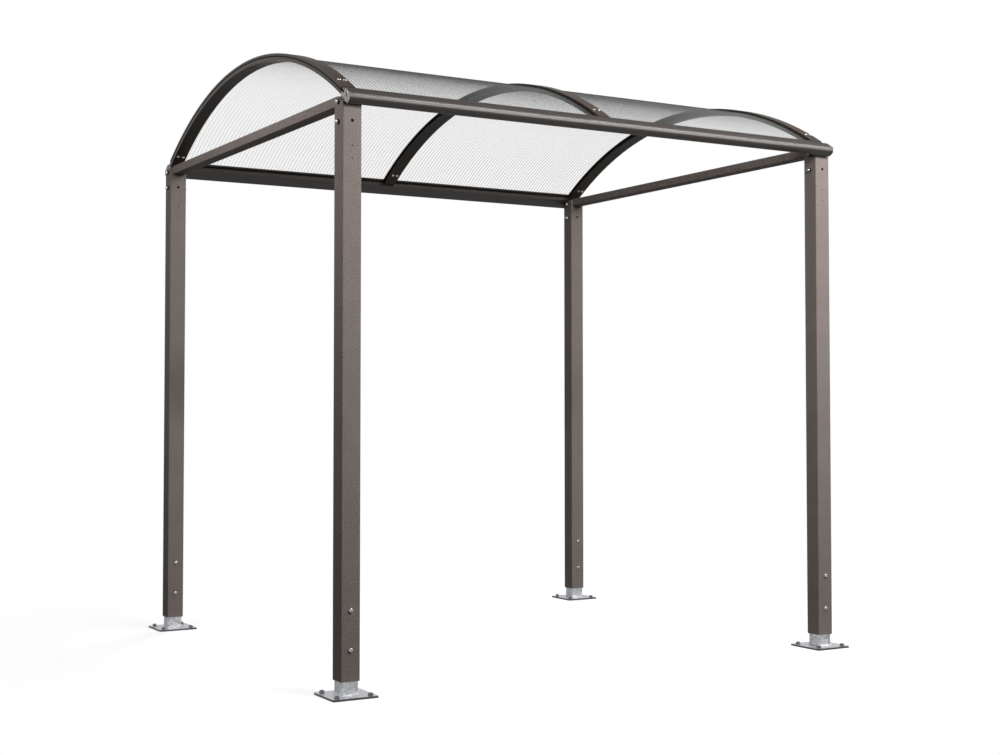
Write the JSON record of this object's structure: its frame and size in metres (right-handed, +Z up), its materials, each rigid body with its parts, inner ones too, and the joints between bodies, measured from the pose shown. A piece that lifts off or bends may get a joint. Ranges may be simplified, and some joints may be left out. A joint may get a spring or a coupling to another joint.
{
  "type": "open bike shelter with four posts and a barrel-vault roof",
  "caption": "Open-sided bike shelter: square posts on bolt-down feet carry eave beams, tie beams and arches with a clear barrel-vault roof for parked cycles.",
  "frame": {"origin": "on the floor, under the middle of the shelter", "axes": "+X along the eaves to the right, +Y from the front to the rear, +Z up"},
  "size_m": [2.582, 2.254, 2.6389],
  "materials": {
    "frame": "fine-textured grey-brown powder coat on steel",
    "rail": "fine-textured grey-brown powder coat on aluminium",
    "galvanised": "hot-dip galvanised steel",
    "fastener": "bright zinc-plated",
    "bare_aluminium": "satin, uncoated",
    "seal": "black, matt",
    "glazing": "clear multiwall polycarbonate"
  },
  "bodies": {
    "root": {"front_left_post": "frame", "front_left_foot": "galvanised", "front_left_head_bolts": "fastener", "front_left_foot_screws": "fastener", "front_left_end_cap": "bare_aluminium", "front_right_post": "frame", "front_right_foot": "galvanised", "front_right_head_bolts": "fastener", "front_right_foot_screws": "fastener", "front_right_end_cap": "bare_aluminium", "front_eave_beam": "rail", "rear_left_post": "frame", "rear_left_foot": "galvanised", "rear_left_head_bolts": "fastener", "rear_left_foot_screws": "fastener", "rear_left_end_cap": "bare_aluminium", "rear_right_post": "frame", "rear_right_foot": "galvanised", "rear_right_head_bolts": "fastener", "rear_right_foot_screws": "fastener", "rear_right_end_cap": "bare_aluminium", "rear_eave_beam": "rail", "left_tie_beam": "frame", "left_roof_sheet": "glazing", "right_tie_beam": "frame", "right_roof_sheet": "glazing", "left_arch": "rail", "left_arch_cover": "rail", "left_arch_seal": "seal", "left_arch_screws": "fastener", "middle_arch": "rail", "middle_arch_cover": "rail", "middle_arch_seal": "seal", "middle_arch_screws": "fastener", "right_arch": "rail", "right_arch_cover": "rail", "right_arch_seal": "seal", "right_arch_screws": "fastener"}
  },
  "joints": []
}
